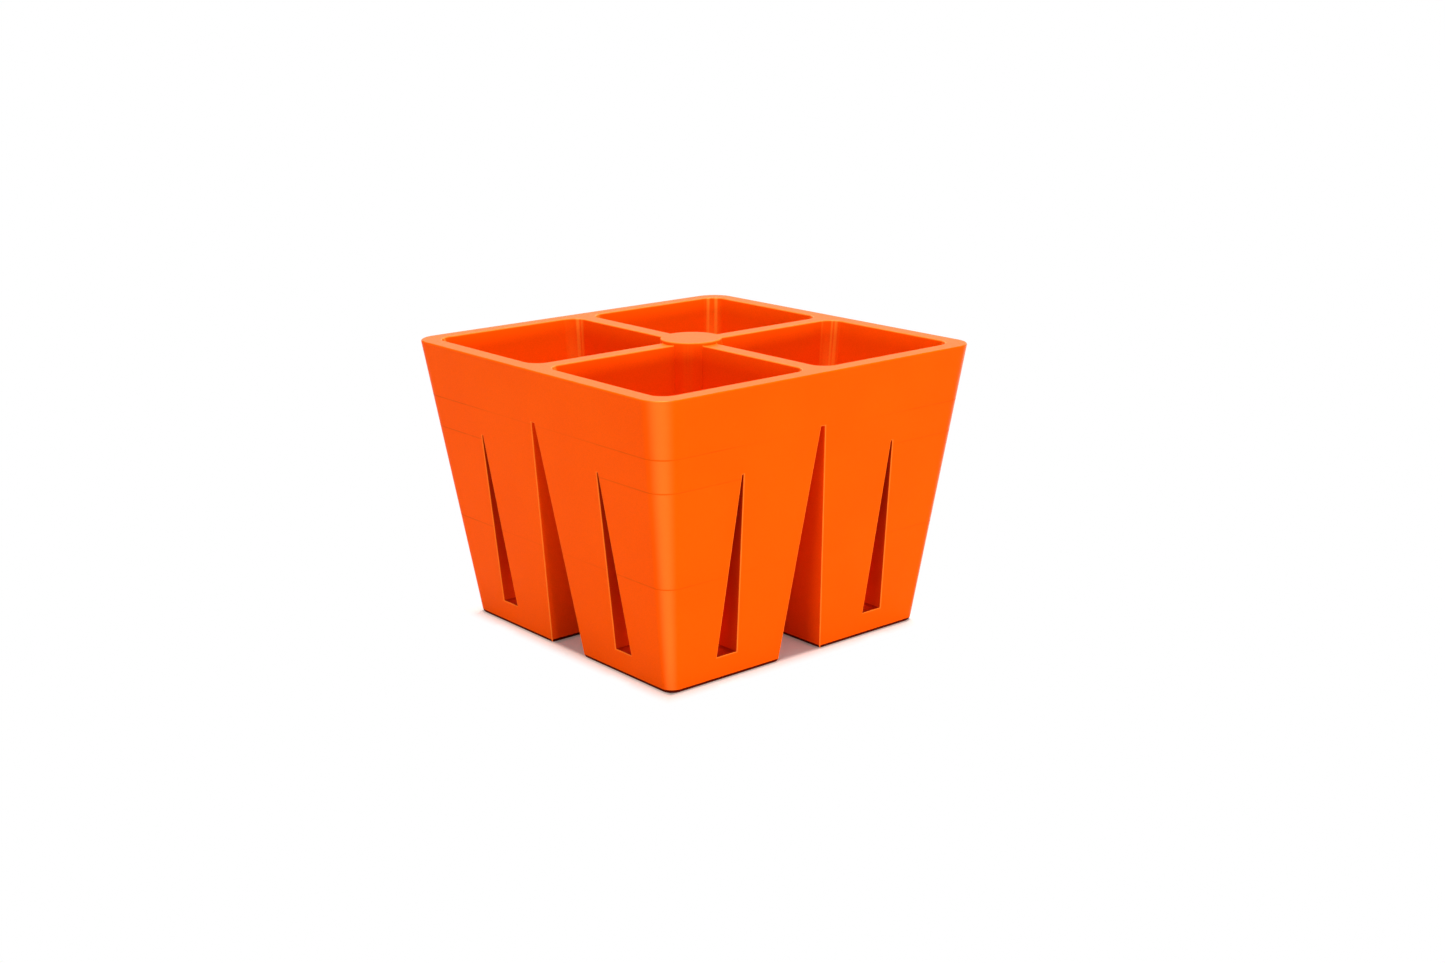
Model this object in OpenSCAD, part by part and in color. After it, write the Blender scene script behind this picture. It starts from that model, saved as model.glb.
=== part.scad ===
// Seed starting tray: one moulded block of four tapered cells on four feet.
// Ground at z = 0, centre of the tray on the z axis, rim upwards. Millimetres.

/* [Outside] */
// Width of the square rim
rim_w = 125; // [115:1:145]
// Width across the feet at the ground
base_w = 100; // [92:1:108]
// Height from the ground to the rim
height = 90; // [80:0.5:110]
// Radius of the upright corners at the rim
rim_corner_r = 8; // [4:0.5:10]
// Radius of the upright corners at the ground
base_corner_r = 4; // [3:0.5:7]
// Rounding of the rim's outer edge
rim_edge_r = 0.4; // [0.2:0.1:1]
// Rounding of the feet's ground edges
base_edge_r = 1.5; // [0.5:0.1:2.5]

/* [Cells] */
// Thickness of the outer walls at the rim
wall = 5.5; // [3.5:0.1:7]
// Thickness of the outer walls at the cell floors
floor_wall = 9.5; // [7:0.1:11]
// Width of the dividers along their top
divider_w = 5.5; // [4:0.1:8]
// Thickness of the wall between a cell and the notch, near the ground
notch_wall = 4; // [3:0.1:6]
// Thickness of the cell floors
floor_t = 5.5; // [3:0.1:7]
// Radius of a cell's upright corners at the rim
cell_corner_r = 5; // [3:0.5:8]
// Radius of a cell's upright corners at its floor
cell_floor_corner_r = 3.5; // [3:0.5:6]
// Rounding between a cell's walls and its floor
cell_floor_edge_r = 2; // [0.5:0.1:2.5]

/* [Notch between the feet] */
// Height of the solid web left between the notch and the rim
web_h = 16.5; // [12:0.1:24]
// Width of the notch at its top
notch_top_w = 1.6; // [1:0.1:3]
// Width of the notch at the ground
notch_base_w = 17; // [12:0.2:22]

/* [Air slots] */
// Distance from the tray's centre line to a slot's centre line
slot_offset = 29.5; // [26:0.5:33]
// Distance from the rim down to a slot's top
slot_top_depth = 26; // [24:0.1:40]
// Height of a slot's sill above the ground
slot_sill_h = 8; // [7.5:0.1:14]
// Width of a slot at its top
slot_top_w = 0.6; // [0.4:0.1:2]
// Width of a slot at its sill
slot_sill_w = 7.6; // [5:0.1:9]

/* [Centre post] */
// Diameter of the round pad on top of the post
post_d = 19; // [14:0.5:24]
// Height of the pad above the rim
post_raise = 1; // [0.4:0.1:2]

/* [Hidden] */

// Room by which a cutter runs past the surface that it cuts
past = 2;
// Facets of a full turn in the rounded corners and on the post
corner_fn = 32;
post_fn = 96;
// Steps of a quarter round
edge_steps = 5;

// Half width of the outside and of the notch at a height above the ground
function outside_half(z) = (base_w + (rim_w - base_w) * z / height) / 2;
notch_h = height - web_h;
function notch_half(z) = (notch_base_w + (notch_top_w - notch_base_w) * z / notch_h) / 2;

// Lean of the outer faces and of the notch faces from upright
outer_lean = atan((rim_w - base_w) / 2 / height);
notch_lean = atan((notch_base_w - notch_top_w) / 2 / notch_h);

// Near and far side of a cell, from the tray's centre, at the rim and at the floor
cell_near_rim = divider_w / 2;
cell_far_rim = rim_w / 2 - wall;
cell_near_floor = notch_half(floor_t) + notch_wall;
cell_far_floor = outside_half(floor_t) - floor_wall;

// Draft of the divider faces, which the post shares
draft = (cell_near_floor - cell_near_rim) / (height - floor_t);

// Points on an arc about a centre, from one angle to another
function arc(centre, r, from, to) = [
    for (i = [0 : edge_steps])
        centre + r * [cos(from + (to - from) * i / edge_steps), sin(from + (to - from) * i / edge_steps)]
];

// A round disc whose lower edge is rounded, standing at z = 0
module rounded_disc(r, edge_r) {
    rotate_extrude($fn = corner_fn)
        polygon(concat([[0, edge_r], [0, 0]], arc([r - edge_r, edge_r], edge_r, -90, 0)));
}

// Copies its child at the four corners of a rectangle from near to far
module at_corners(near, far) {
    for (x = [near, far], y = [near, far])
        translate([x, y, 0])
            children();
}

// The outer form: a tapered block with rounded corners, rim edge and ground edge
module outer_block() {
    // Place that lets a face meet the ground at base_w, with the rounding inside it
    base_centre = base_w / 2 - base_corner_r + base_edge_r * (1 - tan((90 - outer_lean) / 2));
    rim_centre = rim_w / 2 - rim_corner_r;
    hull() {
        at_corners(-base_centre, base_centre)
            rounded_disc(base_corner_r, base_edge_r);
        translate([0, 0, height])
            mirror([0, 0, 1])
                at_corners(-rim_centre, rim_centre)
                    rounded_disc(rim_corner_r, rim_edge_r);
    }
}

// The hollow of one cell, open upwards
module cell_hollow() {
    hull() {
        translate([0, 0, floor_t])
            at_corners(cell_near_floor + cell_floor_corner_r, cell_far_floor - cell_floor_corner_r)
                rounded_disc(cell_floor_corner_r, cell_floor_edge_r);
        translate([0, 0, height])
            at_corners(cell_near_rim + cell_corner_r, cell_far_rim - cell_corner_r)
                cylinder(h = past, r = cell_corner_r, $fn = corner_fn);
    }
}

// The post where the dividers cross, as wide below as the cells' draft makes it
module centre_post() {
    post_h = height + post_raise - floor_t;
    translate([0, 0, floor_t])
        cylinder(h = post_h, r1 = post_d / 2 + draft * post_h, r2 = post_d / 2, $fn = post_fn);
}

// The notch from side to side between the feet, flared at the ground by their rounding
module notch() {
    reach = rim_w / 2 + past;
    flare_x = notch_base_w / 2 + base_edge_r * tan((90 - notch_lean) / 2);
    flare = arc([flare_x, base_edge_r], base_edge_r, -90, notch_lean - 180);
    right = concat([[flare_x, -past]], flare, [[notch_top_w / 2, notch_h]]);
    left = [for (i = [len(right) - 1 : -1 : 0]) [-right[i].x, right[i].y]];
    rotate([90, 0, 0])
        linear_extrude(height = 2 * reach, center = true)
            polygon(concat(right, left));
}

// One slot through the wall that faces -y, narrow at its top
module air_slot() {
    inner_end = outside_half(slot_sill_h) - floor_wall - past;
    outer_end = rim_w / 2 + past;
    translate([slot_offset, -inner_end, 0])
        rotate([90, 0, 0])
            linear_extrude(height = outer_end - inner_end)
                polygon([
                    [-slot_sill_w / 2, slot_sill_h],
                    [slot_sill_w / 2, slot_sill_h],
                    [slot_top_w / 2, height - slot_top_depth],
                    [-slot_top_w / 2, height - slot_top_depth]
                ]);
}

module tray() {
    color([0.97, 0.36, 0.02])
        difference() {
            union() {
                difference() {
                    outer_block();
                    for (turn = [0 : 90 : 270])
                        rotate(turn)
                            cell_hollow();
                }
                centre_post();
            }
            for (turn = [0, 90])
                rotate(turn)
                    notch();
            for (turn = [0 : 90 : 270], side = [0, 1])
                rotate(turn)
                    mirror([side, 0, 0])
                        air_slot();
        }
}

tray();
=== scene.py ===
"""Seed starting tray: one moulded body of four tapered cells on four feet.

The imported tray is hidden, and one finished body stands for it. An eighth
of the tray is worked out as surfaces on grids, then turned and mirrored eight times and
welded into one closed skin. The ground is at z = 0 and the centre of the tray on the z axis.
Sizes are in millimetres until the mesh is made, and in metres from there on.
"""
import logging
import math
from dataclasses import dataclass, field
from enum import IntEnum

import bmesh
import bpy
import numpy as np
from mathutils import Matrix, Vector


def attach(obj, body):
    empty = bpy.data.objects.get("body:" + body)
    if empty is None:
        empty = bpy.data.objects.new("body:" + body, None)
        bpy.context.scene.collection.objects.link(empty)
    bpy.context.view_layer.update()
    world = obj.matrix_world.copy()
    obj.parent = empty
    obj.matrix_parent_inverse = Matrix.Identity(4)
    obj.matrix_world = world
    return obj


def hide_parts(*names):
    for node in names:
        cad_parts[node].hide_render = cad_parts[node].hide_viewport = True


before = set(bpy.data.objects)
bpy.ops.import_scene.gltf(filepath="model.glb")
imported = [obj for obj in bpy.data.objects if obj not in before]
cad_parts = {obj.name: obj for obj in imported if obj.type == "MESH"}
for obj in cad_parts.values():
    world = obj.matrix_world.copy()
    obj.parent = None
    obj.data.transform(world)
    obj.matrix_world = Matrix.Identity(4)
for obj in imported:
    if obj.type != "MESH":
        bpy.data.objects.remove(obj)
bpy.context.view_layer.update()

LOG = logging.getLogger("tray")
MM = 0.001
PHOTO_WIDTH = 1445
SQUARE_TURNS = 4
# weight of a rounded corner's crest, where the finishes paint a highlight and raise the gloss
CREST = "crest"
FACE, DIAGONAL, NEIGHBOUR = 0.0, 45.0, -90.0  # degrees round an upright corner from the front face
NOISE_LOW, NOISE_HIGH = 0.3, 0.7  # range in which nearly all of a noise lies
Colour = tuple[float, float, float]
Span = tuple[float, float]
Line = np.ndarray | list[float]
Socket = bpy.types.NodeSocket


class SkinPart(IntEnum):
    """Which finish a face of the tray takes, in the order of the material slots."""

    BODY = 0
    MOULD_LINE = 1
    EDGE = 2
    SLOT = 3
    SOLE = 4
    RIM = 5
    NOTCH = 6
    SILL = 7
    FLOOR = 8
    LINING = 9


# Shapes worked out with numpy


@dataclass(frozen=True)
class FootedWall:
    """A leaning straight wall seen in section, rounded where it meets the level it stands on.

    Args:
        foot: place of the straight wall at the level it stands on.
        slope: how far the wall leans outwards for each millimetre of height.
        level: height of the level it stands on.
        radius: radius of the rounding between the level and the wall.
    """

    foot: float
    slope: float
    level: float
    radius: float

    @property
    def stretch(self) -> float:
        """Length of the wall for each millimetre of height."""
        return math.hypot(1.0, self.slope)

    @property
    def touch(self) -> float:
        """Height at which the rounding runs into the straight wall."""
        return self.level + self.radius * (1.0 - self.slope / self.stretch)

    def straight(self, z: np.ndarray) -> np.ndarray:
        """Place of the unrounded wall: foot plus slope times the height above its level."""
        return self.foot + self.slope * (z - self.level)

    def at(self, z: np.ndarray) -> np.ndarray:
        """Place of the wall's skin at each height.

        Above the touching height it is the straight wall. Below it, it is the circle that
        touches level and wall: centre plus the root of radius squared less the squared
        height above the circle's centre.

        Args:
            z: heights.

        Returns:
            The wall's place at each height.
        """
        centre = self.straight(self.level + self.radius) - self.radius * self.stretch
        rise = z - self.level - self.radius
        rounded = centre + np.sqrt(np.maximum(self.radius**2 - rise**2, 0.0))
        return np.where(z < self.touch, rounded, self.straight(z))

    def rounding_heights(self, steps: int) -> np.ndarray:
        """Heights of equal turns round the rounding, from its level to the straight wall."""
        angles = np.linspace(-math.pi / 2, -math.atan(self.slope), steps + 1)
        return self.level + self.radius * (1.0 + np.sin(angles))


def arc_columns(
    centre_x: np.ndarray, centre_y: np.ndarray, radius: np.ndarray, turn: Span, steps: int
) -> tuple[np.ndarray, np.ndarray]:
    """Columns of points on an upright corner that changes its radius with the height.

    Each point is centre plus radius times (sine, minus cosine) of its angle, which is counted
    from the direction of the front face.

    Args:
        centre_x: centre of the arc along x, one for each row.
        centre_y: centre of the arc along y, one for each row.
        radius: radius of the arc, one for each row.
        turn: first and last angle in degrees.
        steps: number of steps between them.

    Returns:
        The x and the y of the points, each rows by columns.
    """
    angles = np.radians(np.linspace(*turn, steps + 1))[None, :]
    x = centre_x[:, None] + radius[:, None] * np.sin(angles)
    y = centre_y[:, None] - radius[:, None] * np.cos(angles)
    return x, y


def corner_weights(turn: Span, steps: int, band: Span) -> np.ndarray:
    """How much each column of a rounded corner counts as its crest.

    The crest lies on the diagonal. The weight is 1 up to the band's first angle from it and
    falls smoothly to 0 at the band's second one: three t squared less two t cubed.

    Args:
        turn: first and last angle in degrees.
        steps: number of steps between them.
        band: angles from the crest, in degrees, between which the weight goes out.

    Returns:
        One weight for each column.
    """
    off_crest = np.abs(np.abs(np.linspace(*turn, steps + 1)) - DIAGONAL)
    clear, gone = band
    t = np.clip((gone - off_crest) / (gone - clear), 0.0, 1.0)
    return t * t * (3.0 - 2.0 * t)


def side_by_side(*columns: np.ndarray) -> np.ndarray:
    """Puts single columns and blocks of columns next to each other, rows by columns."""
    return np.concatenate([c[:, None] if c.ndim == 1 else c for c in columns], axis=1)


@dataclass
class Patchwork:
    """Gathers the patches of one eighth of the tray and closes them into the whole skin."""

    points: list[np.ndarray] = field(default_factory=list)
    faces: list[tuple[int, ...]] = field(default_factory=list)
    parts: list[int] = field(default_factory=list)
    crests: list[np.ndarray] = field(default_factory=list)
    count: int = 0

    def add_sheet(
        self,
        x: np.ndarray,
        y: np.ndarray,
        z: np.ndarray,
        row_parts: np.ndarray | None = None,
        crest: np.ndarray | None = None,
    ) -> None:
        """Adds a grid of points as four-sided faces.

        Args:
            x: the points' places along x, rows by columns.
            y: their places along y, rows by columns.
            z: the height of each row.
            row_parts: finish of each row of faces, or None for the body's.
            crest: each column's weight as a corner's crest, or None where there is no corner.
        """
        rows, columns = x.shape
        ids = self.count + np.arange(rows * columns).reshape(rows, columns)
        quads = np.stack([ids[:-1, :-1], ids[:-1, 1:], ids[1:, 1:], ids[1:, :-1]], axis=-1)
        finish = np.zeros(rows - 1, int) if row_parts is None else row_parts
        weights = np.zeros(columns) if crest is None else crest
        heights = np.broadcast_to(z[:, None], x.shape)
        self.points.append(np.stack([x, y, heights], axis=-1).reshape(-1, 3))
        self.crests.append(np.tile(weights, rows))
        self.faces.extend(map(tuple, quads.reshape(-1, 4).tolist()))
        self.parts.extend(np.repeat(finish, columns - 1).tolist())
        self.count += rows * columns

    def add_plate(self, x: Line, y: Line, z: float, part: SkinPart = SkinPart.BODY) -> None:
        """Adds one level face of many corners.

        Args:
            x: the corners' places along x.
            y: their places along y.
            z: the face's height.
            part: the face's finish.
        """
        corners = len(x)
        self.points.append(np.column_stack([x, y, np.full(corners, z)]))
        self.crests.append(np.zeros(corners))
        self.faces.append(tuple(range(self.count, self.count + corners)))
        self.parts.append(part)
        self.count += corners

    def whole(self) -> tuple[np.ndarray, list[tuple[int, ...]], list[int], np.ndarray]:
        """Repeats the eighth round the z axis.

        The eighth and its mirror image in the tray's diagonal make a quarter, which is turned
        by 0, 90, 180 and 270 degrees.

        Returns:
            The points in metres, the faces, each face's finish and each point's crest weight.
        """
        eighth = np.concatenate(self.points) * MM
        copies, faces = [], []
        for turn in range(SQUARE_TURNS):
            c, s = round(math.cos(turn * math.pi / 2)), round(math.sin(turn * math.pi / 2))
            spin = np.array([[c, -s, 0], [s, c, 0], [0, 0, 1]], float)
            mirror = np.array([[0, -1, 0], [-1, 0, 0], [0, 0, 1]], float)
            for change in (spin, spin @ mirror):
                shift = len(copies) * self.count
                copies.append(eighth @ change.T)
                faces.extend(tuple(i + shift for i in face) for face in self.faces)
        crest = np.tile(np.concatenate(self.crests), len(copies))
        return np.concatenate(copies), faces, self.parts * len(copies), crest


# The tray


@dataclass(frozen=True)
class TraySizes:
    """The tray's sizes in millimetres, as its solid has them, and four that its skin adds.

    Args:
        line_heights: heights of the mould lines.
        line_half_w: half of a mould line's width.
        sole_shade_h: height up to which a foot's ground edge is painted dark as shade.
        edge_round: rounding of the sharp edges that stand out.
    """

    rim_w: float = 125.0
    base_w: float = 100.0
    height: float = 90.0
    rim_corner_r: float = 8.0
    base_corner_r: float = 4.0
    rim_edge_r: float = 0.4
    base_edge_r: float = 1.5
    wall: float = 5.5
    floor_wall: float = 9.5
    divider_w: float = 5.5
    notch_wall: float = 4.0
    floor_t: float = 5.5
    cell_corner_r: float = 5.0
    cell_floor_corner_r: float = 3.5
    cell_floor_edge_r: float = 2.0
    web_h: float = 16.5
    notch_top_w: float = 1.6
    notch_base_w: float = 17.0
    slot_offset: float = 29.5
    slot_top_depth: float = 26.0
    slot_sill_h: float = 8.0
    slot_top_w: float = 0.6
    slot_sill_w: float = 7.6
    post_d: float = 19.0
    post_raise: float = 1.0
    line_heights: tuple[float, ...] = (33.5, 62.8, 72.8)
    line_half_w: float = 0.2
    sole_shade_h: float = 1.2
    edge_round: float = 0.28

    @property
    def long_lines(self) -> tuple[float, ...]:
        """Heights of the mould lines that run on past the slots: all but the middle one."""
        return self.line_heights[::2]

    @property
    def notch_h(self) -> float:
        """Height of the notch's top above the ground."""
        return self.height - self.web_h

    @property
    def slot_top_h(self) -> float:
        """Height of a slot's top above the ground."""
        return self.height - self.slot_top_depth

    @property
    def outer(self) -> FootedWall:
        """The outer face, which leans out from the feet to just under the rim's edge."""
        lean = (self.rim_w - self.base_w) / 2 / (self.height - self.rim_edge_r)
        return FootedWall(self.base_w / 2, lean, 0.0, self.base_edge_r)

    @property
    def notch(self) -> FootedWall:
        """The notch's face, counted from the far side, so that its foot leans as outer's does."""
        lean = (self.notch_base_w - self.notch_top_w) / 2 / self.notch_h
        return FootedWall(-self.notch_base_w / 2, lean, 0.0, self.base_edge_r)

    @property
    def cell_far(self) -> FootedWall:
        """The cell's face on the outer wall.

        Its foot is the outer face's place at the floor less the wall's thickness there, and
        it leans so that the wall has its other thickness at the rim.

        Returns:
            The face in section.
        """
        outside = self.base_w / 2 + (self.rim_w - self.base_w) / 2 * self.floor_t / self.height
        foot = outside - self.floor_wall
        lean = (self.rim_w / 2 - self.wall - foot) / (self.height - self.floor_t)
        return FootedWall(foot, lean, self.floor_t, self.cell_floor_edge_r)

    @property
    def cell_near(self) -> FootedWall:
        """The cell's face on a divider, counted from the far side as the notch's face is.

        Its foot is the notch's face less the wall between them, and it leans so that it is
        half a divider's width from the middle at the rim.

        Returns:
            The face in section.
        """
        foot = float(self.notch.straight(self.floor_t)) - self.notch_wall
        lean = (-self.divider_w / 2 - foot) / (self.height - self.floor_t)
        return FootedWall(foot, lean, self.floor_t, self.cell_floor_edge_r)

    def corner_radius(self, z: np.ndarray) -> np.ndarray:
        """Outer corner radius: from the ground's to the rim's in proportion to the height."""
        return self.base_corner_r + (self.rim_corner_r - self.base_corner_r) * z / self.height

    def cell_corner_radius(self, z: np.ndarray) -> np.ndarray:
        """Cell corner radius: from the floor's to the rim's in proportion to the height."""
        share = (z - self.floor_t) / (self.height - self.floor_t)
        return self.cell_floor_corner_r + (self.cell_corner_r - self.cell_floor_corner_r) * share

    def in_slot(self, z: np.ndarray) -> np.ndarray:
        """Which heights lie from a slot's sill to its top."""
        return (z >= self.slot_sill_h) & (z <= self.slot_top_h)

    def slot_sides(self, z: np.ndarray) -> dict[str, np.ndarray]:
        """Places of a slot's two sides.

        The slot's half width narrows in proportion from sill to top, and is held beyond them.

        Args:
            z: heights.

        Returns:
            The near and the far side's place at each height.
        """
        ends = (self.slot_sill_h, self.slot_top_h)
        half = np.interp(z, ends, (self.slot_sill_w / 2, self.slot_top_w / 2))
        return {"slot_near": self.slot_offset - half, "slot_far": self.slot_offset + half}

    def post_radius(self, z: np.ndarray) -> np.ndarray:
        """Radius of the centre post: the pad's, plus the dividers' lean times the depth."""
        return self.post_d / 2 + self.cell_near.slope * (self.height + self.post_raise - z)


@dataclass(frozen=True)
class OuterSkin:
    """The outer face of an eighth: half of the front face and half of its corner.

    Args:
        sizes: the tray's sizes.
        corner_steps: steps of half an upright corner.
        edge_steps: steps of the rounding at the ground.
        rim_steps: steps of the rounding at the rim.
        between: heights of further rows, which keep the faces short.
        crest_band: angles from a corner's crest between which its weight goes out.
    """

    sizes: TraySizes
    corner_steps: int = 14
    edge_steps: int = 7
    rim_steps: int = 5
    between: tuple[float, ...] = (20.0, 48.0, 82.0)
    crest_band: Span = (0.0, 35.0)

    def heights(self) -> np.ndarray:
        """Heights of the straight part's rows: sill, slot top, notch top and the mould lines.

        Returns:
            The heights in rising order.
        """
        s = self.sizes
        lines = np.array(s.line_heights)[:, None] + np.array([-s.line_half_w, s.line_half_w])
        marks = [s.outer.touch, s.notch.touch, s.slot_sill_h, s.slot_top_h, s.notch_h]
        return np.unique(np.concatenate([marks, self.between, lines.ravel()]))

    def profile(self) -> tuple[np.ndarray, np.ndarray]:
        """The face in section: round at the ground, straight, and round again at the rim.

        The rim's rounding is centre plus radius times (cosine, sine) from the wall's lean
        to upright.

        Returns:
            The distance from the tray's centre and the height of each row.
        """
        s, wall = self.sizes, self.sizes.outer
        foot_z = wall.rounding_heights(self.edge_steps)[:-1]
        z = np.concatenate([foot_z, self.heights()])
        reach = wall.at(z)
        rim_level = s.height - s.rim_edge_r
        centre = float(wall.straight(rim_level)) - s.rim_edge_r * wall.stretch
        angles = np.linspace(-math.atan(wall.slope), math.pi / 2, self.rim_steps + 1)
        reach = np.concatenate([reach, centre + s.rim_edge_r * np.cos(angles)])
        return reach, np.concatenate([z, rim_level + s.rim_edge_r * np.sin(angles)])

    def columns(self) -> dict[str, np.ndarray]:
        """Works out every row's places along the face and round its corner.

        Returns:
            The heights, the face's place, the sides of notch and slot, and the corner's points.
        """
        s = self.sizes
        reach, z = self.profile()
        radius = s.corner_radius(z) - (s.outer.straight(z) - reach)
        inset = reach - radius
        arc_x, arc_y = arc_columns(inset, -inset, radius, (FACE, DIAGONAL), self.corner_steps)
        notch_side = np.where(z > s.notch_h, s.notch_top_w / 2, -s.notch.at(z))
        return {
            "z": z,
            "face": -reach,
            "notch": notch_side,
            **s.slot_sides(z),
            "arc_x": arc_x,
            "arc_y": arc_y,
        }

    def build(self, work: Patchwork) -> None:
        """Adds the face in strips, leaving the notch and the slot open.

        Args:
            work: where the patches are gathered.
        """
        s, c = self.sizes, self.columns()
        z, face = c["z"], c["face"]
        middle = 0.5 * (z[:-1] + z[1:])

        def strip(
            keep: np.ndarray,
            x: np.ndarray,
            y: np.ndarray,
            lines: tuple[float, ...],
            crest: np.ndarray | None = None,
        ) -> None:
            """Adds a strip of the face.

            Args:
                keep: which rows it takes.
                x: places along x, rows by columns.
                y: places along y, rows by columns.
                lines: heights of its mould lines.
                crest: each column's weight as a corner's crest, or None.
            """
            rows = np.flatnonzero(keep)
            in_line = np.abs(middle[:, None] - np.array(lines)).min(axis=1) < s.line_half_w
            parts = np.where(in_line, SkinPart.MOULD_LINE, SkinPart.BODY)
            # the lowest rows take painted shade where the foot meets the ground
            parts[middle < s.sole_shade_h] = SkinPart.SOLE
            work.add_sheet(x[rows], y[rows], z[rows], parts[rows[:-1]], crest)

        everywhere = np.ones_like(z, bool)
        two = side_by_side(face, face)
        strip(z >= s.notch_h, side_by_side(np.zeros_like(z), c["notch"]), two, s.long_lines)
        strip(everywhere, side_by_side(c["notch"], c["slot_near"]), two, s.long_lines)
        slot = side_by_side(c["slot_near"], c["slot_far"])
        for keep in (z <= s.slot_sill_h, z >= s.slot_top_h):
            strip(keep, slot, two, s.long_lines)
        corner = side_by_side(c["slot_far"], c["arc_x"]), side_by_side(face, c["arc_y"])
        weights = corner_weights((FACE, DIAGONAL), self.corner_steps, self.crest_band)
        strip(everywhere, *corner, s.line_heights, np.append(0.0, weights))


@dataclass(frozen=True)
class CellLining:
    """The inside of an eighth's half cell: post, divider face, outer wall and its corners.

    Args:
        sizes: the tray's sizes.
        outside: the outer face, whose rows along the slot the lining shares.
        post_steps: steps of the post's arc.
        corner_steps: steps of an upright corner.
        edge_steps: steps of the rounding at the floor.
        post_crest: weight of the post's crest.
        post_band: angles from that crest between which its weight goes out.
        corner_band: angles from a corner's crest between which its weight goes out.
    """

    sizes: TraySizes
    outside: OuterSkin
    post_steps: int = 10
    corner_steps: int = 14
    edge_steps: int = 6
    post_crest: float = 0.15
    post_band: Span = (3.0, 22.0)
    corner_band: Span = (16.0, 45.0)

    def heights(self) -> np.ndarray:
        """Heights of the rows from floor to rim, the same as the outer face's along the slot.

        Returns:
            The heights in rising order.
        """
        s = self.sizes
        rows = self.outside.heights()
        foot = s.cell_far.rounding_heights(self.edge_steps)
        ends = [s.cell_near.touch, s.height]
        return np.unique(np.concatenate([foot, ends, rows[s.in_slot(rows)]]))

    def columns(self) -> dict[str, np.ndarray]:
        """Works out every row's places round the half cell, from the post to the far corner.

        The post's arc starts on the diagonal and ends where the post meets the divider's
        face: at the angle whose sine is the face's place over the post's radius.

        Returns:
            The heights, the outer wall's place, the slot's sides, and the points before and
            behind the slot.
        """
        s, z = self.sizes, self.heights()
        far, near = s.cell_far.at(z), -s.cell_near.at(z)
        radius = s.cell_corner_radius(z) - (s.cell_far.straight(z) - far)
        post = s.post_radius(z) + near + s.cell_near.straight(z)
        meet = np.arcsin(near / post)
        share = np.linspace(0.0, 1.0, self.post_steps + 1)[None, :]
        angles = math.pi / 4 + (meet[:, None] - math.pi / 4) * share
        low = radius - far
        side_x, side_y = arc_columns(
            near + radius, low, radius, (NEIGHBOUR, FACE), self.corner_steps
        )
        end_x, end_y = arc_columns(-low, low, radius, (FACE, DIAGONAL), self.corner_steps // 2)
        return {
            "z": z,
            "face": -far,
            **s.slot_sides(z),
            "first_x": side_by_side(post[:, None] * np.sin(angles), side_x),
            "first_y": side_by_side(-post[:, None] * np.cos(angles), side_y),
            "last_x": end_x,
            "last_y": end_y,
        }

    def ring(self, row: int) -> tuple[np.ndarray, np.ndarray]:
        """Works out the whole line round the half cell at one row, from post to far corner.

        Args:
            row: number of the row.

        Returns:
            The line's places along x and along y.
        """
        c = self.columns()
        slot = [c["slot_near"][row], c["slot_far"][row]]
        x = np.concatenate([c["first_x"][row], slot, c["last_x"][row]])
        y = np.concatenate([c["first_y"][row], [c["face"][row]] * 2, c["last_y"][row]])
        return x, y

    def build(self, work: Patchwork) -> None:
        """Adds the lining in strips, leaving the slot open, and the cell's floor.

        Args:
            work: where the patches are gathered.
        """
        s, c = self.sizes, self.columns()
        z, face = c["z"], c["face"]
        post = corner_weights((DIAGONAL, FACE), self.post_steps, self.post_band)
        near = corner_weights((NEIGHBOUR, FACE), self.corner_steps, self.corner_band)
        far = corner_weights((FACE, DIAGONAL), self.corner_steps // 2, self.corner_band)
        parts = np.full(len(z) - 1, SkinPart.LINING)
        x, y = side_by_side(c["first_x"], c["slot_near"]), side_by_side(c["first_y"], face)
        crest = np.concatenate([self.post_crest * post, near, [0.0]])
        work.add_sheet(x, y, z, parts, crest)
        x, y = side_by_side(c["slot_far"], c["last_x"]), side_by_side(face, c["last_y"])
        work.add_sheet(x, y, z, parts, np.append(0.0, far))
        slot, two = side_by_side(c["slot_near"], c["slot_far"]), side_by_side(face, face)
        for keep in (z <= s.slot_sill_h, z >= s.slot_top_h):
            work.add_sheet(slot[keep], two[keep], z[keep], parts[: keep.sum() - 1])
        work.add_plate(*self.ring(0), s.floor_t, SkinPart.FLOOR)


@dataclass(frozen=True)
class AirSlot:
    """The slim slot through the outer wall: two sides, the sill and the narrow top."""

    sizes: TraySizes
    outside: OuterSkin
    lining: CellLining

    def build(self, work: Patchwork) -> None:
        """Joins the outer face's edge of the slot to the lining's, row by row.

        Args:
            work: where the patches are gathered.
        """
        s, out, inn = self.sizes, self.outside.columns(), self.lining.columns()
        rows_out, rows_in = s.in_slot(out["z"]), s.in_slot(inn["z"])
        z = out["z"][rows_out]
        y = side_by_side(out["face"][rows_out], inn["face"][rows_in])
        near, far = out["slot_near"][rows_out], out["slot_far"][rows_out]
        parts = np.full(len(z) - 1, SkinPart.SLOT)
        for side in (near, far):
            work.add_sheet(side_by_side(side, side), y, z, parts)
        for end in (0, -1):
            x = [near[end], far[end], far[end], near[end]]
            work.add_plate(x, np.repeat(y[end], 2), z[end], SkinPart.SILL)


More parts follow.
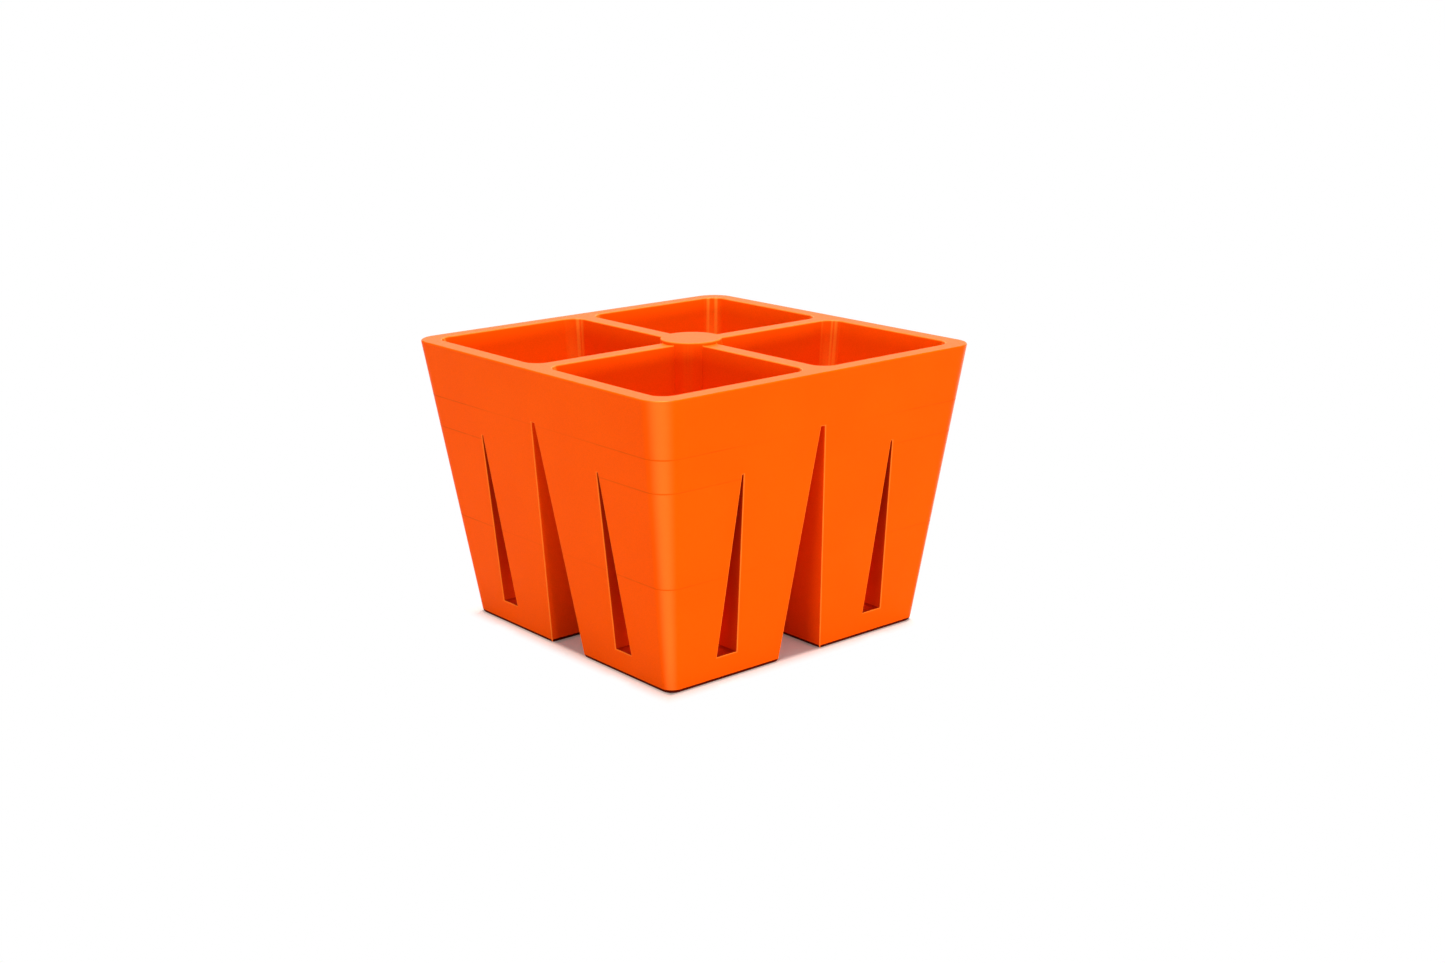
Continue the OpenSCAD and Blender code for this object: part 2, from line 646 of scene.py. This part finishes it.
@dataclass(frozen=True)
class LegAndNotch:
    """The leg's face in the notch, the notch's roof and the sole that stands on the ground."""

    sizes: TraySizes
    outside: OuterSkin

    def build(self, work: Patchwork) -> None:
        """Adds the three from the outer face's own rows and columns.

        Args:
            work: where the patches are gathered.
        """
        s, out = self.sizes, self.outside.columns()
        rows = out["z"] <= s.notch_h
        side, z = out["notch"][rows], out["z"][rows]
        x, y = side_by_side(side, side), side_by_side(out["face"][rows], -side)
        # the lowest rows of the notch's faces take painted shade where they meet the ground
        parts = np.where(0.5 * (z[:-1] + z[1:]) < s.sole_shade_h, SkinPart.SOLE, SkinPart.NOTCH)
        work.add_sheet(x, y, z, parts)
        top, front = s.notch_top_w / 2, out["face"][rows][-1]
        roof_y = [0.0, front, front, -top]
        work.add_plate([0.0, 0.0, top, top], roof_y, s.notch_h, SkinPart.NOTCH)
        flat_x = [side[0], side[0], out["slot_near"][0], out["slot_far"][0], *out["arc_x"][0]]
        flat_y = [-side[0], *[out["face"][0]] * 3, *out["arc_y"][0]]
        work.add_plate(flat_x, flat_y, 0.0)


@dataclass(frozen=True)
class RimAndPad:
    """The flat rim with its dividers, and the round pad raised where they cross."""

    sizes: TraySizes
    outside: OuterSkin
    lining: CellLining
    pad_steps: int = 8

    def build(self, work: Patchwork) -> None:
        """Adds the pad's side, its top and the rim between outer edge, cell and pad.

        Args:
            work: where the patches are gathered.
        """
        s, out = self.sizes, self.outside.columns()
        meet_point = self.lining.post_steps
        cell_x, cell_y = self.lining.ring(-1)
        meet = math.asin(cell_x[meet_point] / float(s.post_radius(s.height)))
        open_angles = np.linspace(0.0, meet, self.pad_steps + 1)
        cell_angles = np.linspace(meet, math.pi / 4, meet_point + 1)[1:]
        angles = np.concatenate([open_angles, cell_angles])
        z = np.array([s.height, s.height + s.post_raise])
        radius = s.post_radius(z)[:, None]
        x, y = radius * np.sin(angles), -radius * np.cos(angles)
        work.add_sheet(x, y, z)
        work.add_plate([0.0, *x[1]], [0.0, *y[1]], z[1], SkinPart.RIM)
        straight = [out[name][-1] for name in ("notch", "slot_near", "slot_far")]
        edge_x = [0.0, *straight, *out["arc_x"][-1]]
        edge_y = [*[out["face"][-1]] * 4, *out["arc_y"][-1]]
        along_cell = slice(None, meet_point - 1, -1)
        along_pad = slice(self.pad_steps - 1, None, -1)
        rim_x = [*edge_x, *cell_x[along_cell], *x[0, along_pad]]
        rim_y = [*edge_y, *cell_y[along_cell], *y[0, along_pad]]
        work.add_plate(rim_x, rim_y, s.height, SkinPart.RIM)


def put_in_scene(name: str, data: bpy.types.ID) -> bpy.types.Object:
    """Puts a mesh, a lamp or a camera into the scene.

    Args:
        name: the object's name.
        data: the mesh, lamp or camera.

    Returns:
        The object.
    """
    thing = bpy.data.objects.new(name, data)
    bpy.context.scene.collection.objects.link(thing)
    return thing


@dataclass(frozen=True)
class SeedTray:
    """The whole tray: its sizes, its patches and the finish of its skin.

    Args:
        sizes: the tray's sizes.
        bevel_segments: steps of a sharp edge's rounding.
        sharp_from: turn in degrees from which on an edge is sharp.
        weld: distance in millimetres up to which points of two patches are merged.
    """

    sizes: TraySizes = TraySizes()
    bevel_segments: int = 3
    sharp_from: float = 30.0
    weld: float = 0.002

    def build(self) -> bpy.types.Object:
        """Builds the closed skin and rounds its sharp edges.

        Returns:
            The tray as one object.
        """
        work = Patchwork()
        outside = OuterSkin(self.sizes)
        lining = CellLining(self.sizes, outside)
        for patch in (
            outside,
            lining,
            AirSlot(self.sizes, outside, lining),
            LegAndNotch(self.sizes, outside),
            RimAndPad(self.sizes, outside, lining),
        ):
            patch.build(work)
            LOG.info("%s worked out", type(patch).__name__)
        points, faces, parts, crest = work.whole()
        mesh = bpy.data.meshes.new("moulded_tray")
        mesh.from_pydata(points.tolist(), [], faces)
        mesh.polygons.foreach_set("material_index", np.array(parts, np.int32))
        weights = mesh.attributes.new(CREST, "FLOAT", "POINT")
        weights.data.foreach_set("value", crest.astype(np.float32))
        self._close(mesh)
        piece = put_in_scene("moulded_tray", mesh)
        self._round_edges(piece)
        return piece

    def _close(self, mesh: bpy.types.Mesh) -> None:
        """Merges the patches' shared edges, turns every face outwards and marks the sharp edges.

        Of the edges that turn by more than the sharp angle, those that stand out are marked to
        be rounded, and those that lie in a hollow stay crisp.

        Args:
            mesh: the tray's mesh.
        """
        skin = bmesh.new()
        skin.from_mesh(mesh)
        bmesh.ops.remove_doubles(skin, verts=skin.verts, dist=self.weld * MM)
        bmesh.ops.recalc_face_normals(skin, faces=skin.faces)
        skin.normal_update()
        rounded = skin.edges.layers.float.new("bevel_weight_edge")
        for edge in skin.edges:
            if edge.calc_face_angle(0.0) > math.radians(self.sharp_from):
                edge[rounded] = float(edge.is_convex)
                edge.smooth = edge.is_convex
        open_edges = sum(not edge.is_manifold for edge in skin.edges)
        skin.to_mesh(mesh)
        LOG.info("skin closed: %d faces, %d open edges", len(skin.faces), open_edges)
        skin.free()
        mesh.polygons.foreach_set("use_smooth", np.ones(len(mesh.polygons), bool))

    def _round_edges(self, piece: bpy.types.Object) -> None:
        """Rounds the mould's sharp edges by a fine radius and keeps the flats flat.

        Args:
            piece: the tray.
        """
        bevel = piece.modifiers.new("edge_round", "BEVEL")
        bevel.width = self.sizes.edge_round * MM
        bevel.segments = self.bevel_segments
        bevel.limit_method = "WEIGHT"
        bevel.use_clamp_overlap = False
        # the rounded edges take the finish with the painted highlight and the painted shade
        bevel.material = SkinPart.EDGE
        flats = piece.modifiers.new("flat_faces", "WEIGHTED_NORMAL")
        flats.keep_sharp = True

    def dress(self, piece: bpy.types.Object) -> None:
        """Gives each part of the skin its finish.

        Args:
            piece: the tray.
        """
        finishes = {
            SkinPart.BODY: MouldedFinish(),
            SkinPart.MOULD_LINE: LineFinish(),
            SkinPart.EDGE: EdgeHighlightAndShadeFinish(),
            SkinPart.SLOT: SlotShadeFinish(),
            SkinPart.SOLE: SoleShadeFinish(),
            SkinPart.RIM: RimHighlightFinish(),
            SkinPart.NOTCH: NotchShadeFinish(),
            SkinPart.SILL: SillShadeFinish(),
            SkinPart.FLOOR: FloorFinish(),
            SkinPart.LINING: LiningFinish(),
        }
        for part in SkinPart:
            piece.data.materials.append(finishes[part].make())


# Finishes


class NodeBench:
    """A material's nodes, with the few kinds that the finishes are put together from."""

    LAYER_SHARE = 0.55  # strength of a noise's layer beside the next coarser one

    def __init__(self, name: str) -> None:
        """Makes the material and finds its nodes.

        Args:
            name: the material's name.
        """
        self.material = bpy.data.materials.new(name)
        self.material.use_nodes = True
        tree = self.material.node_tree
        self.nodes, self.links = tree.nodes, tree.links
        self.skin = self.nodes["Principled BSDF"]
        self.place = self.nodes.new("ShaderNodeTexCoord").outputs["Object"]

    def join(self, source: Socket, target: Socket) -> None:
        """Links an output to an input."""
        self.links.new(source, target)

    def noise(self, width: float, detail: float) -> Socket:
        """A noise on the piece's own coordinates.

        Args:
            width: width of its features in millimetres.
            detail: how many finer layers it has.

        Returns:
            The noise's factor.
        """
        node = self.nodes.new("ShaderNodeTexNoise")
        node.inputs["Scale"].default_value = 1.0 / (width * MM)
        node.inputs["Detail"].default_value = detail
        node.inputs["Roughness"].default_value = self.LAYER_SHARE
        self.join(self.place, node.inputs["Vector"])
        return node.outputs["Fac"]

    def spread(
        self,
        source: Socket,
        low: float = 0.0,
        high: float = 1.0,
        start: float = NOISE_LOW,
        end: float = NOISE_HIGH,
    ) -> Socket:
        """Maps one range smoothly to another.

        Args:
            source: what is mapped.
            low: result at start.
            high: result at end.
            start: where the source's range starts.
            end: where it ends.

        Returns:
            The result.
        """
        node = self.nodes.new("ShaderNodeMapRange")
        node.interpolation_type = "SMOOTHSTEP"
        names = ("From Min", "From Max", "To Min", "To Max")
        for name, value in zip(names, (start, end, low, high)):
            node.inputs[name].default_value = value
        self.join(source, node.inputs["Value"])
        return node.outputs["Result"]

    def maths(self, kind: str, *sources: Socket | float) -> Socket:
        """Works out one step of arithmetic.

        Args:
            kind: its name in the node.
            sources: sockets or plain numbers.

        Returns:
            The result.
        """
        node = self.nodes.new("ShaderNodeMath")
        node.operation = kind
        for slot, source in zip(node.inputs, sources):
            if isinstance(source, (int, float)):
                slot.default_value = source
            else:
                self.join(source, slot)
        return node.outputs["Value"]

    def crest(self) -> Socket:
        """Reads the mesh's own weight of a rounded corner's crest.

        Returns:
            The weight.
        """
        node = self.nodes.new("ShaderNodeAttribute")
        node.attribute_name = CREST
        return node.outputs["Fac"]

    def lift(self, base: Socket, amount: Socket, step: Colour) -> Socket:
        """Adds a colour in proportion to an amount: base plus amount times step.

        Args:
            base: the colour that it is added to.
            amount: the amount.
            step: the colour that is added where the amount is 1.

        Returns:
            The lifted colour.
        """
        node = self.nodes.new("ShaderNodeVectorMath")
        node.operation = "MULTIPLY_ADD"
        self.join(amount, node.inputs[0])
        node.inputs[1].default_value = step
        self.join(base, node.inputs[2])
        return node.outputs["Vector"]

    def spot(self) -> tuple[Socket, Socket, Socket]:
        """Reads where a spot lies on the tray.

        Returns:
            Its distances from the tray's two upright middle planes, and its height.
        """
        split = self.nodes.new("ShaderNodeSeparateXYZ")
        self.join(self.place, split.inputs["Vector"])
        x, y = (self.maths("ABSOLUTE", split.outputs[axis]) for axis in "XY")
        return x, y, split.outputs["Z"]

    def blend(self, factor: Socket, low: Colour, high: Colour) -> Socket:
        """A colour between two.

        Args:
            factor: how far it is from the first to the second.
            low: the first colour.
            high: the second colour.

        Returns:
            The colour.
        """
        node = self.nodes.new("ShaderNodeValToRGB")
        for stop, colour in zip(node.color_ramp.elements, (low, high)):
            stop.color = (*colour, 1.0)
        self.join(factor, node.inputs["Fac"])
        return node.outputs["Color"]


@dataclass(frozen=True)
class MouldedFinish:
    """Fine matte moulded skin in bright orange.

    Args:
        name: the material's name.
        colour: the body's colour, linear.
        warm: the colour that broad patches drift towards.
        grain: width of the fine grain in millimetres.
        grain_height: height of the fine grain in millimetres.
        speckle: how much lighter or darker the grain makes a spot, as a share.
        ripple: width of the slow waves that moulding leaves in a flat face, in millimetres.
        ripple_height: height of those waves in millimetres.
        drift: width of the broad patches in millimetres.
        layers: how many finer layers grain, ripple and drift have.
        smooth: roughness of the grain's tops.
        rough: roughness between them.
        gloss: level of the skin's own reflection.
        crest_gloss: that level on the crest of a rounded corner, raised so that the crest catches
            highlights.
        crest_highlight: colour of the painted highlight added on a crest.
        gloss_tint: colour of that reflection where the skin is seen straight on.
        has_crest: whether the part has rounded corners whose crests take the painted highlight and
            the raised gloss.
    """

    name: str = "moulded_orange"
    colour: Colour = (0.935, 0.092, 0.0006)
    warm: Colour = (0.920, 0.087, 0.0005)
    grain: float = 0.42
    grain_height: float = 0.010
    speckle: float = 0.03
    ripple: float = 7.0
    ripple_height: float = 0.020
    drift: float = 24.0
    layers: tuple[float, float, float] = (2.0, 1.0, 1.5)
    smooth: float = 0.34
    rough: float = 0.42
    gloss: float = 0.015
    crest_gloss: float = 0.55
    # painted highlight on the crests of the rounded corners
    crest_highlight: Colour = (0.015, 0.038, 0.009)
    gloss_tint: Colour = (1.0, 0.60, 0.08)
    has_crest: bool = True

    def base(self, bench: NodeBench) -> Socket:
        """The colour of each spot, which drifts slowly from place to place."""
        broad = bench.spread(bench.noise(self.drift, self.layers[2]))
        return bench.blend(broad, self.colour, self.warm)

    def tone(self, bench: NodeBench, fine: Socket) -> Socket:
        """How bright each spot is beside the body's colour: a little speckled by the grain."""
        return bench.spread(fine, 1.0 - self.speckle, 1.0 + self.speckle)

    def make(self) -> bpy.types.Material:
        """Builds the material: grain in bump, roughness and brightness, waves and a slow drift.

        Returns:
            The finished material.
        """
        bench = NodeBench(self.name)
        fine = bench.noise(self.grain, self.layers[0])
        slow = bench.noise(self.ripple, self.layers[1])
        speck = bench.nodes.new("ShaderNodeHueSaturation")
        body, skin = self.base(bench), bench.skin.inputs
        skin["Specular IOR Level"].default_value = self.gloss
        if self.has_crest:
            crest = bench.crest()
            # painted highlight on the crests of the rounded corners
            body = bench.lift(body, crest, self.crest_highlight)
            shine = bench.spread(crest, self.gloss, self.crest_gloss, 0.0, 1.0)
            bench.join(shine, skin["Specular IOR Level"])
        bench.join(body, speck.inputs["Color"])
        bench.join(self.tone(bench, fine), speck.inputs["Value"])
        bench.join(speck.outputs["Color"], skin["Base Color"])
        bench.join(bench.spread(fine, self.smooth, self.rough), skin["Roughness"])
        waves = bench.maths("MULTIPLY", slow, self.ripple_height / self.grain_height)
        bump = bench.nodes.new("ShaderNodeBump")
        bump.inputs["Distance"].default_value = self.grain_height * MM
        bench.join(bench.maths("ADD", fine, waves), bump.inputs["Height"])
        bench.join(bump.outputs["Normal"], skin["Normal"])
        skin["Specular Tint"].default_value = (*self.gloss_tint, 1.0)
        return bench.material


@dataclass(frozen=True)
class EdgeHighlightAndShadeFinish(MouldedFinish):
    """The same skin on the rounded edges, painted lighter as a highlight where they stand out, and
    painted dark as shade deep inside.

    Args:
        lean: how far the outer faces lean outwards for each metre of height.
        reach: distances from the middle at the ground, in metres, between which the painted
            highlight begins.
        above: heights, in metres, from which on every edge takes the painted highlight.
        hidden_shade: painted shade on the edges deep inside the slots and the notch.
    """

    name: str = "edge_painted_highlight_and_shade"
    # painted highlight on the rounded edges that stand out
    colour: Colour = (0.97, 0.170, 0.016)
    lean: float = 0.14
    reach: Span = (0.0490, 0.0496)
    above: Span = (0.066, 0.076)
    # painted shade on the edges deep inside the slots and the notch
    hidden_shade: Colour = (0.30, 0.012, 0.0003)

    def base(self, bench: NodeBench) -> Socket:
        """The colour of each spot: a painted highlight on the outside and round the rim, painted
        shade deep inside the slots.

        The distance that counts is the greater distance from the middle planes less the
        outer faces' lean times the height.

        Args:
            bench: the material's nodes.

        Returns:
            The colour.
        """
        x, y, z = bench.spot()
        lean = bench.maths("MULTIPLY", z, self.lean)
        out = bench.maths("SUBTRACT", bench.maths("MAXIMUM", x, y), lean)
        beside = bench.spread(out, 0.0, 1.0, *self.reach)
        above = bench.spread(z, 0.0, 1.0, *self.above)
        return bench.blend(bench.maths("MAXIMUM", beside, above), self.hidden_shade, self.colour)


@dataclass(frozen=True)
class PlainFinish(MouldedFinish):
    """The same skin on parts that have no rounded corners."""

    has_crest: bool = False


@dataclass(frozen=True)
class SlotShadeFinish(PlainFinish):
    """The skin inside the slots, painted deeper in tone as the shade in them, and rougher."""

    name: str = "slot_painted_shade"
    # painted shade: much darker than the body
    colour: Colour = (0.56, 0.029, 0.0003)
    warm: Colour = (0.52, 0.025, 0.0002)
    smooth: float = 0.55
    rough: float = 0.70
    gloss: float = 0.03


@dataclass(frozen=True)
class SillShadeFinish(SlotShadeFinish):
    """The slot's sill and top, painted deeper still as the shade in them."""

    name: str = "slot_sill"
    # painted shade: darker still than the slot's sides
    colour: Colour = (0.34, 0.009, 0.0003)
    warm: Colour = (0.28, 0.007, 0.0002)


@dataclass(frozen=True)
class RimHighlightFinish(PlainFinish):
    """The flat rim, dividers and pad, painted a little paler as the highlight of the light above,
    and glossier.
    """

    name: str = "rim_painted_highlight"
    # painted highlight: paler than the body
    colour: Colour = (0.95, 0.110, 0.003)
    warm: Colour = (0.94, 0.105, 0.002)
    gloss: float = 0.09


@dataclass(frozen=True)
class LiningFinish(MouldedFinish):
    """The skin inside the cells, whose corners take a strong painted highlight but no raised gloss.
    """

    name: str = "cell_lining"
    crest_gloss: float = 0.10
    # painted highlight in the cells' corners
    crest_highlight: Colour = (0.03, 0.13, 0.016)


@dataclass(frozen=True)
class FloorFinish(PlainFinish):
    """The skin of the cell floors, a little duller than the walls."""

    name: str = "cell_floor"
    smooth: float = 0.40
    rough: float = 0.50


@dataclass(frozen=True)
class NotchShadeFinish(PlainFinish):
    """The skin between the feet, painted a little deeper in tone as the shade between them."""

    name: str = "notch_painted_shade"
    # painted shade: less green than the body, so redder and deeper
    colour: Colour = (0.98, 0.071, 0.0005)
    warm: Colour = (0.97, 0.066, 0.0004)


@dataclass(frozen=True)
class SoleShadeFinish(PlainFinish):
    """The skin at the turn of a foot's ground edge, painted dark as the shade where it meets the
    ground.
    """

    name: str = "sole_painted_shade"
    # painted shade: near black at the ground edge
    colour: Colour = (0.090, 0.004, 0.0005)
    warm: Colour = (0.065, 0.003, 0.0005)
    smooth: float = 0.60
    rough: float = 0.75
    gloss: float = 0.04


@dataclass(frozen=True)
class LineFinish(PlainFinish):
    """A mould line's hairline, clear near the upright corners and broken up away from them.

    Args:
        dark: brightness of the line where it is clear.
        faint: brightness of the line where it nearly goes out.
        fades: distances from the tray's middle, in millimetres, between which it grows clear.
        least: how clear it is in the middle.
        gap: width of its breaks in millimetres.
        broken: how clear it is in a break.
    """

    name: str = "mould_line"
    dark: float = 0.84
    faint: float = 0.98
    fades: Span = (14.0, 46.0)
    least: float = 0.25
    gap: float = 6.0
    broken: float = 0.55

    def tone(self, bench: NodeBench, fine: Socket) -> Socket:
        """How dark the line is: by the lesser of a spot's two distances from the middle planes.

        Args:
            bench: the material's nodes.
            fine: the fine grain; not used, as a mould line doesn't show it.

        Returns:
            The brightness beside the body's colour.
        """
        between = bench.maths("MINIMUM", *bench.spot()[:2])
        near_corner = bench.spread(between, self.least, 1.0, *(f * MM for f in self.fades))
        whole = bench.spread(bench.noise(self.gap, self.layers[0]), self.broken)
        clear = bench.maths("MULTIPLY", near_corner, whole)
        return bench.spread(clear, self.faint, self.dark, 0.0, 1.0)


def seen_rays(nodes: bpy.types.Nodes, links: bpy.types.NodeLinks) -> tuple[Socket, Socket]:
    """Tells the rays that see a surface from the light that it throws on.

    Args:
        nodes: the nodes of the material or the world.
        links: their links.

    Returns:
        One where a camera ray arrives, and one where a camera, glossy or transmission ray does.
    """
    path = nodes.new("ShaderNodeLightPath")
    camera = seen = path.outputs["Is Camera Ray"]
    for name in ("Is Glossy Ray", "Is Transmission Ray"):
        either = nodes.new("ShaderNodeMath")
        either.operation = "MAXIMUM"
        links.new(seen, either.inputs[0])
        links.new(path.outputs[name], either.inputs[1])
        seen = either.outputs["Value"]
    return camera, seen


@dataclass(frozen=True)
class PaperFinish:
    """Studio paper, white where it is seen and greyer where it only throws light back.

    Args:
        name: the material's name.
        seen: its grey for the camera.
        lift: painted glow that the camera sees even in the floor's shadows, between the feet and
            beside them.
        beside: distances from the middle between which one passes into the other, in metres.
        shade: colour of that painted glow, warm as the light that the tray throws back.
        thrown: its grey for the light that it throws on the tray.
        thrown_near: that grey close to the feet.
        close: distances between which that passes into the other grey, in metres.
        fade: distances between which its shadows run out into plain white, in metres.
    """

    name: str = "studio_paper"
    seen: float = 0.80
    lift: Span = (0.12, 0.60)
    beside: Span = (0.0480, 0.0505)
    shade: Colour = (1.0, 0.70, 0.60)
    thrown: float = 0.48
    thrown_near: float = 0.80
    close: Span = (0.055, 0.110)
    fade: Span = (0.0493, 0.0555)

    def make(self) -> bpy.types.Material:
        """Builds the paper: matte near the tray, running out into plain white.

        Returns:
            The finished material.
        """
        bench = NodeBench(self.name)
        skin = bench.skin.inputs
        camera, seen = seen_rays(bench.nodes, bench.links)
        out = bench.maths("MAXIMUM", *bench.spot()[:2])
        by_ray = bench.spread(camera, self.thrown, self.seen, 0.0, 1.0)
        by_place = bench.spread(out, self.thrown_near, 0.0, *self.close)
        bench.join(bench.maths("MAXIMUM", by_ray, by_place), skin["Base Color"])
        skin["Roughness"].default_value = 1.0
        skin["Specular IOR Level"].default_value = 0.0
        away = bench.spread(out, 0.0, 1.0, *self.fade)
        # painted glow: a warm emission, for camera rays only, that lightens the floor's shadows
        # near the feet
        lift = bench.spread(out, *self.lift, *self.beside)
        skin["Emission Color"].default_value = (*self.shade, 1.0)
        bench.join(bench.maths("MULTIPLY", camera, lift), skin["Emission Strength"])
        white = bench.nodes.new("ShaderNodeEmission")
        mix = bench.nodes.new("ShaderNodeMixShader")
        bench.join(bench.maths("MULTIPLY", away, seen), mix.inputs["Fac"])
        bench.join(bench.skin.outputs["BSDF"], mix.inputs[1])
        bench.join(white.outputs["Emission"], mix.inputs[2])
        bench.join(mix.outputs["Shader"], bench.nodes["Material Output"].inputs["Surface"])
        return bench.material


# Studio


def direction(bearing: float, rise: float) -> Vector:
    """Works out the direction at a bearing and a rise.

    It is (minus sine, minus cosine) of the bearing times the rise's cosine, and the rise's sine.

    Args:
        bearing: degrees from straight in front of the tray towards its left.
        rise: degrees over the ground.

    Returns:
        The direction, of length 1.
    """
    turn, tilt = math.radians(bearing), math.radians(rise)
    flat = math.cos(tilt)
    return Vector((-math.sin(turn) * flat, -math.cos(turn) * flat, math.sin(tilt)))


@dataclass(frozen=True)
class SoftLamp:
    """A soft lamp that points at the tray.

    Args:
        name: the lamp's name.
        bearing: its direction, degrees from straight in front of the tray towards its left.
        power: its power, watts.
        rise: its height over the ground as an angle, degrees.
        distance: its distance from the tray's middle, metres.
        width: its width, metres.
        height: its height, metres.
        aim: height of the point it is turned to, metres.
    """

    name: str
    bearing: float
    power: float
    rise: float = 3.0
    distance: float = 1.5
    width: float = 0.9
    height: float = 0.2
    aim: float = 0.05

    def build(self) -> bpy.types.Object:
        """Hangs the lamp and turns it to its aim.

        Returns:
            The lamp.
        """
        light = bpy.data.lights.new(self.name, "AREA")
        light.shape = "RECTANGLE"
        light.size, light.size_y = self.width, self.height
        light.energy = self.power
        lamp = put_in_scene(self.name, light)
        away = direction(self.bearing, self.rise)
        lamp.location = away * self.distance + Vector((0.0, 0.0, self.aim))
        lamp.rotation_euler = away.to_track_quat("Z", "Y").to_euler()
        return lamp


@dataclass(frozen=True)
class Studio:
    """A pale floor without an end, an even surround and three soft lamps.

    Args:
        floor_half: half the floor's width, metres.
        floor_drop: depth of the floor under the soles, metres.
        surround: brightness of the surround as light on the tray.
        paper: the floor's finish.
        lamps: the lamps.
    """

    floor_half: float = 6.0
    floor_drop: float = 0.02 * MM
    surround: float = 0.28
    paper: PaperFinish = PaperFinish()
    lamps: tuple[SoftLamp, ...] = (
        SoftLamp("lamp_above", bearing=250.0, power=68.0, rise=84.0, distance=1.85, height=0.9),
        SoftLamp("lamp_left", bearing=82.0, power=8.2),
        SoftLamp("lamp_right", bearing=-4.0, power=15.8),
    )

    def build(self) -> None:
        """Builds floor, surround and lamps."""
        self._floor()
        self._surround()
        for lamp in self.lamps:
            lamp.build()
            LOG.info("%s hung", lamp.name)

    def _floor(self) -> None:
        """Lays the floor just under the soles."""
        h, z = self.floor_half, -self.floor_drop
        mesh = bpy.data.meshes.new("studio_floor")
        mesh.from_pydata([(-h, -h, z), (h, -h, z), (h, h, z), (-h, h, z)], [], [(0, 1, 2, 3)])
        mesh.materials.append(self.paper.make())
        floor = put_in_scene("studio_floor", mesh)

    def _surround(self) -> None:
        """Lights the scene evenly from all sides, and shows white where a ray sees the world."""
        world = bpy.data.worlds.new("studio_surround")
        world.use_nodes = True
        bpy.context.scene.world = world
        nodes, links = world.node_tree.nodes, world.node_tree.links
        level = nodes.new("ShaderNodeMapRange")
        level.inputs["To Min"].default_value = self.surround
        level.inputs["To Max"].default_value = 1.0
        links.new(seen_rays(nodes, links)[1], level.inputs["Value"])
        links.new(level.outputs["Result"], nodes["Background"].inputs["Strength"])
        nodes["Background"].inputs["Color"].default_value = (1.0, 1.0, 1.0, 1.0)


@dataclass(frozen=True)
class PhotoCamera:
    """The camera at the photograph's viewing angle.

    It stands on a line through the middle of the rim, and is then turned a little off that
    line, as the tray isn't in the middle of the picture.

    Args:
        beside_corner: turn of that line from the front corner's diagonal, degrees.
        elevation: its rise above the rim's plane, degrees.
        distance: its length in millimetres.
        turn_side: turn of the camera to the side, degrees.
        turn_up: turn of the camera upwards, degrees.
        roll: turn about the view's own axis, degrees.
        focal: focal length in pixels of the photograph.
        sensor: width of the sensor in millimetres.
        nearest: distance in metres from which on the camera sees.
    """

    beside_corner: float = -5.93
    elevation: float = 10.97
    distance: float = 583.4
    turn_side: float = -0.908
    turn_up: float = 4.322
    roll: float = -0.505
    focal: float = 1873.0
    sensor: float = 36.0
    nearest: float = 0.01

    def build(self, rim_height: float) -> bpy.types.Object:
        """Places the camera and makes it the scene's own.

        Args:
            rim_height: height of the rim above the ground in millimetres.

        Returns:
            The camera.
        """
        back = direction(DIAGONAL + self.beside_corner, self.elevation)
        up = Vector((0.0, 0.0, 1.0))
        side = up.cross(back).normalized()
        over = back.cross(side)
        tilt = math.radians(self.turn_side) * side + math.radians(self.turn_up) * over
        z_axis = (back + tilt).normalized()
        flat_x = up.cross(z_axis).normalized()
        flat_y = z_axis.cross(flat_x)
        c, s = math.cos(math.radians(self.roll)), math.sin(math.radians(self.roll))
        x_axis, y_axis = c * flat_x + s * flat_y, c * flat_y - s * flat_x
        place = back * self.distance * MM + Vector((0.0, 0.0, rim_height * MM))
        data = bpy.data.cameras.new("photo_camera")
        data.sensor_width = self.sensor
        data.lens = self.focal / PHOTO_WIDTH * self.sensor
        data.clip_start = self.nearest
        camera = put_in_scene("photo_camera", data)
        camera.matrix_world = Matrix.LocRotScale(
            place, Matrix((x_axis, y_axis, z_axis)).transposed().to_quaternion(), None
        )
        bpy.context.scene.camera = camera
        return camera


def main() -> None:
    """Builds the tray and its studio in order, and reports each piece."""
    logging.basicConfig(level=logging.INFO, format="%(name)s: %(message)s")
    tray = SeedTray()
    piece = tray.build()
    tray.dress(piece)
    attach(piece, "root")
    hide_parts("tray")
    LOG.info("%s rides on root and stands for the packed tray", piece.name)
    Studio().build()
    PhotoCamera().build(tray.sizes.height)
    bpy.context.scene.view_settings.view_transform = "Standard"
    LOG.info("sizes written")


if __name__ == "__main__":
    main()
